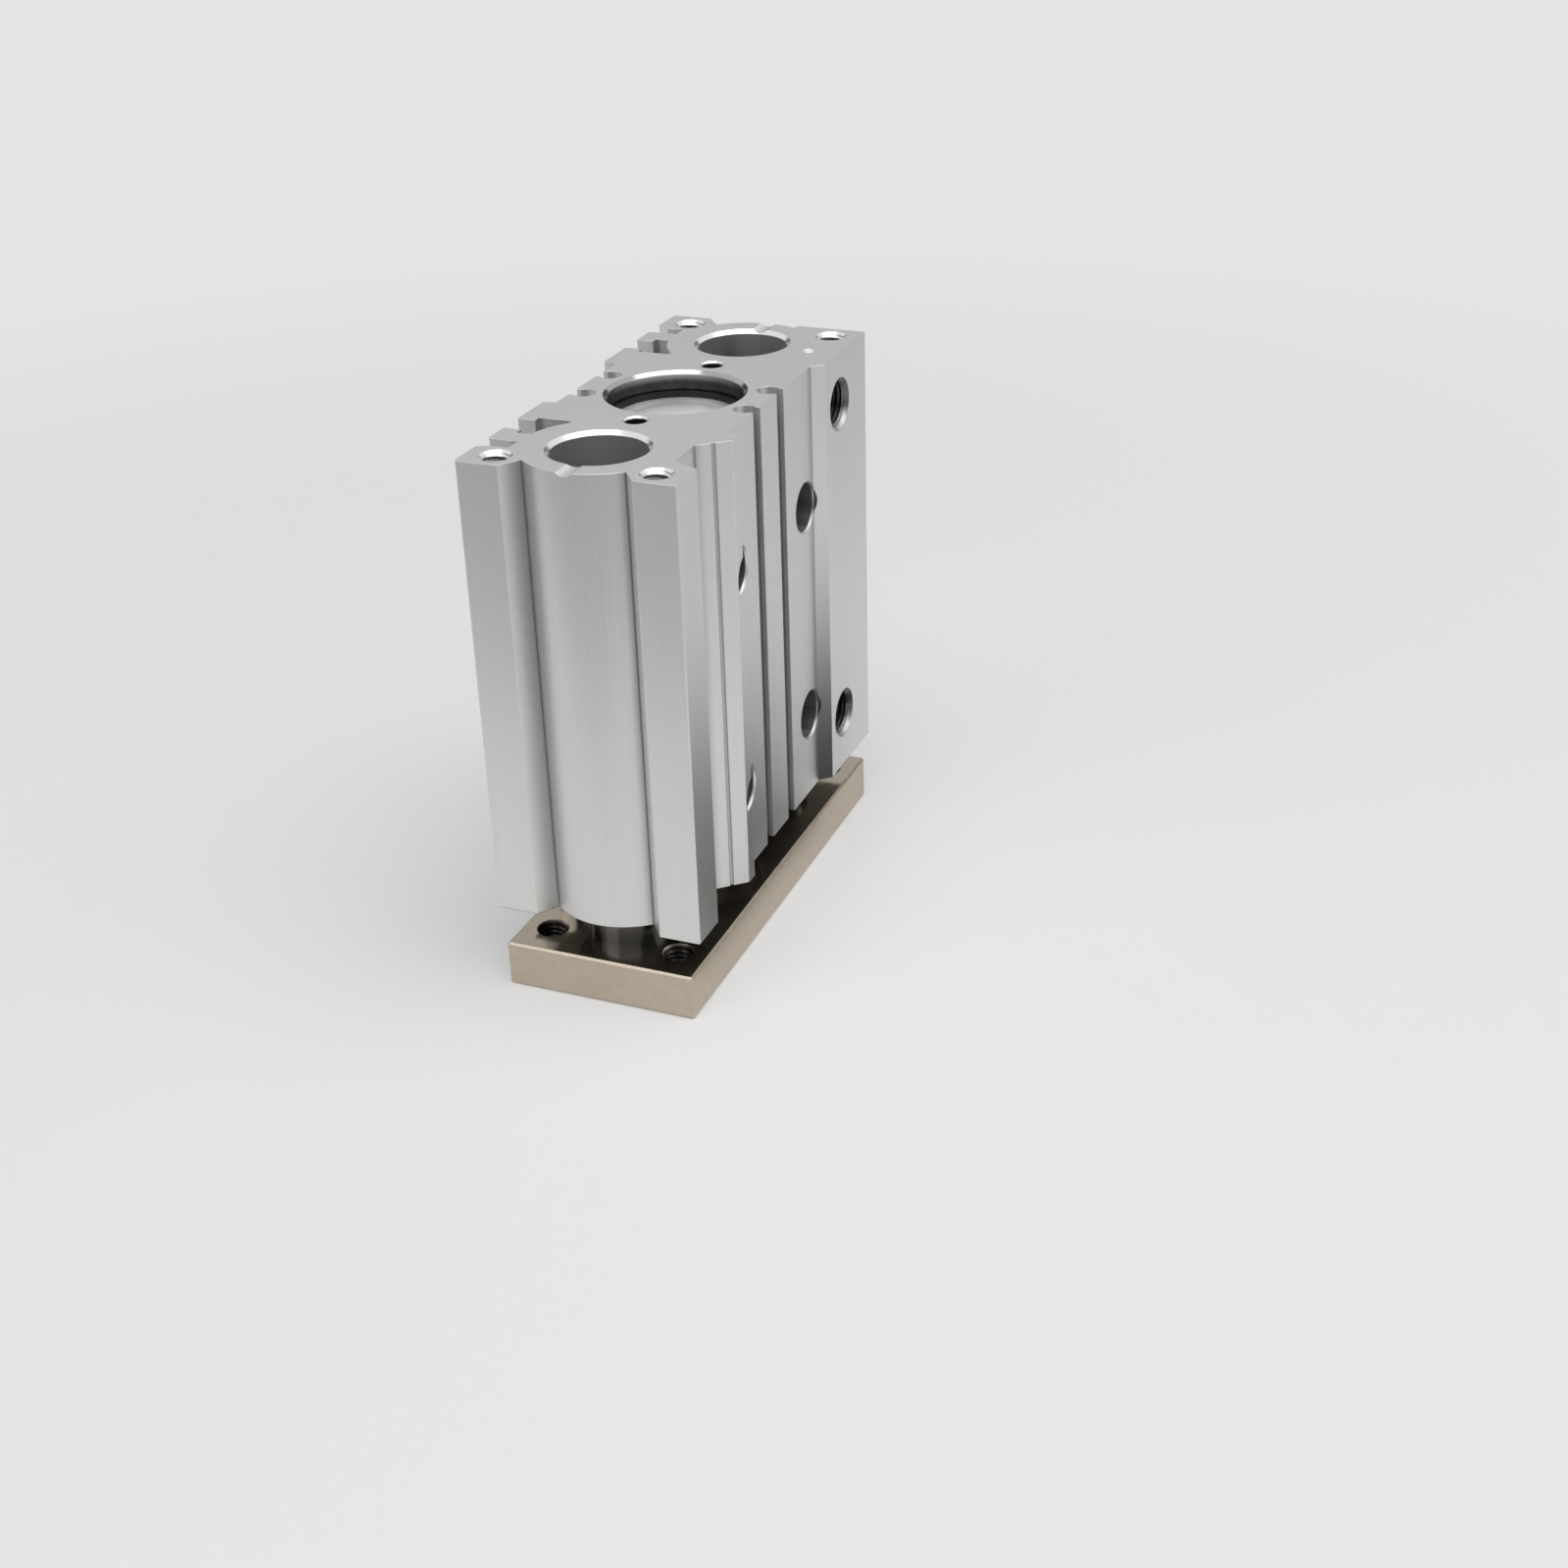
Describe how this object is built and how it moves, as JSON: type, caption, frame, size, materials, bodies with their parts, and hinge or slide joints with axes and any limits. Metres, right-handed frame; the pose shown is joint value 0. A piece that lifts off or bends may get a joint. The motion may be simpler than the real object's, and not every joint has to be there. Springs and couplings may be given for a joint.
{
  "type": "guided pneumatic cylinder",
  "caption": "Compact guided air cylinder: an extruded aluminium barrel slides on two guide rods and a piston rod fixed to a nickel plated end plate.",
  "frame": {"origin": "centre of the end plate's outer face, which the cylinder stands on", "axes": "+Z along the rods from the end plate to the head end, +X along the wide side towards the ports, +Y towards the T-slot side"},
  "size_m": [0.093, 0.041, 0.1035],
  "materials": {
    "anodised_aluminium": "satin, clear anodised, fine lines along the extrusion",
    "turned_aluminium": "fine turned",
    "nickel_plate": "warm electroless nickel, satin",
    "chromed_rod": "hard chromed and ground",
    "spring_steel": "dark phosphate",
    "plug_steel": "zinc plated",
    "ball_steel": "polished",
    "black_bolt_steel": "black oxide",
    "bearing_bronze": "sintered",
    "magnet": "matt",
    "seal_rubber": "matt nitrile",
    "urethane": "matt, amber",
    "felt": "oil soaked felt"
  },
  "bodies": {
    "carriage": {"end_plate": "nickel_plate", "rod_bolt": "black_bolt_steel", "guide_bolts": "black_bolt_steel", "piston_rod": "chromed_rod", "guide_rod_left": "chromed_rod", "guide_rod_right": "chromed_rod", "piston": "turned_aluminium", "piston_seal": "seal_rubber", "magnet_ring": "magnet", "rod_side_bumper": "urethane", "head_side_bumper": "urethane"},
    "barrel": {"cylinder_body": "anodised_aluminium", "head_cover": "turned_aluminium", "rod_collar": "turned_aluminium", "head_cover_gasket": "seal_rubber", "collar_gasket": "seal_rubber", "rod_seal": "seal_rubber", "head_snap_ring": "spring_steel", "rod_snap_ring": "spring_steel", "port_plugs": "plug_steel", "passage_ball": "ball_steel", "slide_bearing_left": "bearing_bronze", "slide_bearing_right": "bearing_bronze", "felt_wiper_left": "felt", "felt_wiper_right": "felt", "felt_holder_left": "plug_steel", "felt_holder_right": "plug_steel", "guide_snap_ring_left": "spring_steel", "guide_snap_ring_right": "spring_steel"}
  },
  "joints": [
    {"name": "stroke", "type": "slide", "parent": "carriage", "child": "barrel", "axis": [0, 0, 1], "range_m": [0, 0.05]}
  ]
}
